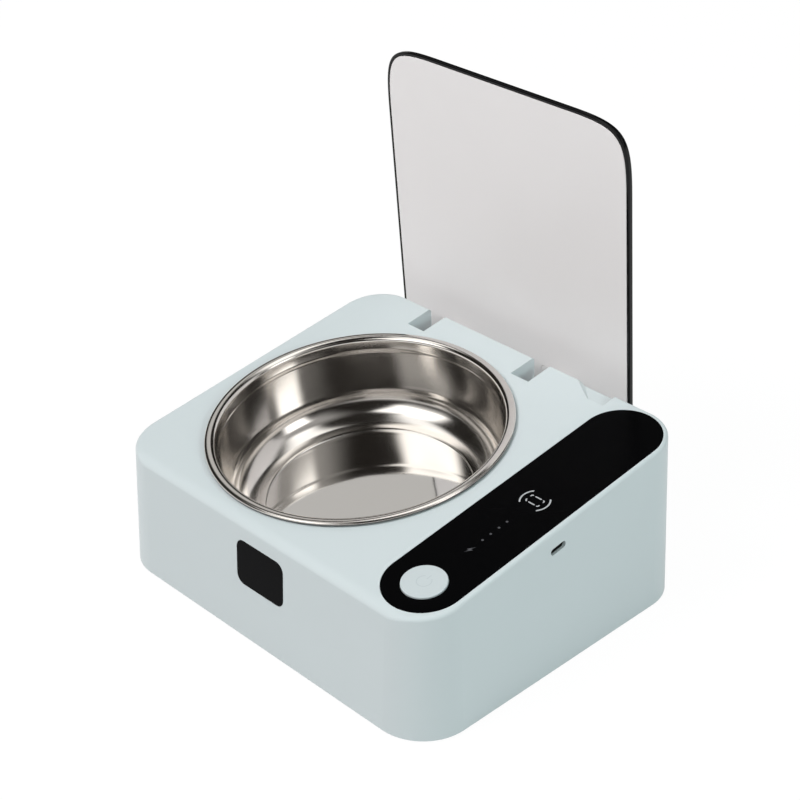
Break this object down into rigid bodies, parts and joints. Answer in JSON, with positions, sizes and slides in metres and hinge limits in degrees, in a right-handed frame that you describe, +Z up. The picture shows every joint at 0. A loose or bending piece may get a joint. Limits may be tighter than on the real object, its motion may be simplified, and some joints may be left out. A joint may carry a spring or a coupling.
{
  "type": "motion sensor pet bowl",
  "caption": "Sloping pet food bowl with a lift-out steel dish, a motor-driven lid hinged at the back, a front motion sensor, a side control panel with a power button, and a charging socket.",
  "frame": {"origin": "on the floor, under the middle of the body's footprint", "axes": "+X to the right along the front face, +Y to the back, +Z up; the lid stands open at rest"},
  "size_m": [0.23, 0.2095, 0.2385],
  "materials": {
    "casing_plastic": "satin, pale cool grey",
    "inner_plastic": "matt, pale grey",
    "black_gloss": "gloss black",
    "liner_plastic": "satin, warm off-white",
    "button_plastic": "satin, light grey",
    "grey_plastic": "matt, mid grey",
    "board_green": "solder mask green",
    "component_black": "moulded black",
    "clear_plastic": "clear moulding",
    "steel_parts": "plated",
    "motor_steel": "plated can",
    "cell_sleeve": null,
    "white_acetal": "natural acetal",
    "foot_rubber": "soft rubber",
    "polished_steel": "mirror-polished stainless steel"
  },
  "bodies": {
    "body": {"upper_casing": "casing_plastic", "base_cover": "inner_plastic", "bowl_well": "inner_plastic", "control_panel": "black_gloss", "control_board": "board_green", "board_chips": "component_black", "board_screws": "steel_parts", "status_leds": "clear_plastic", "light_guide": "clear_plastic", "usb_socket": "steel_parts", "usb_tongue": "component_black", "button_switch": "component_black", "buzzer": "component_black", "sensor_window": "black_gloss", "sensor_board": "board_green", "sensor_emitters": "component_black", "battery_cells": "cell_sleeve", "battery_holder": "grey_plastic", "motor": "motor_steel", "gearbox_case": "grey_plastic", "gearbox_cover": "grey_plastic", "gearbox_screws": "steel_parts", "hinge_bushes": "white_acetal", "rubber_sole": "foot_rubber", "casing_screws": "steel_parts"},
    "lid": {"lid_plate": "black_gloss", "lid_liner": "liner_plastic", "lid_arms": "liner_plastic", "hinge_pin": "steel_parts", "drive_shaft": "steel_parts", "lid_gear": "white_acetal", "arm_screws": "steel_parts", "shaft_clips": "steel_parts"},
    "pinion": {"drive_pinion": "white_acetal"},
    "button": {"power_button": "button_plastic", "switch_plunger": "component_black"},
    "dish": {"steel_bowl": "polished_steel"}
  },
  "joints": [
    {"name": "lid_hinge", "type": "hinge", "parent": "body", "child": "lid", "pos_m": [-0.0235, 0.0825, 0.07097], "axis": [1, 0, 0], "range_deg": [0, 93]},
    {"name": "pinion_spin", "type": "hinge", "parent": "body", "child": "pinion", "pos_m": [0.044, 0.05625, 0.07097], "axis": [1, 0, 0], "range_deg": [-190, 4]},
    {"name": "button_press", "type": "slide", "parent": "body", "child": "button", "axis": [0, 0.1392, -0.9903], "range_m": [0, 0.0006], "stiffness_N_per_m": 2500, "springref_m": -0.0002},
    {"name": "bowl_lift", "type": "slide", "parent": "body", "child": "dish", "axis": [0, -0.1392, 0.9903], "range_m": [0, 0.08]}
  ],
  "couplings": [
    {"joint": "pinion_spin", "follows": "lid_hinge", "ratio": -2}
  ]
}
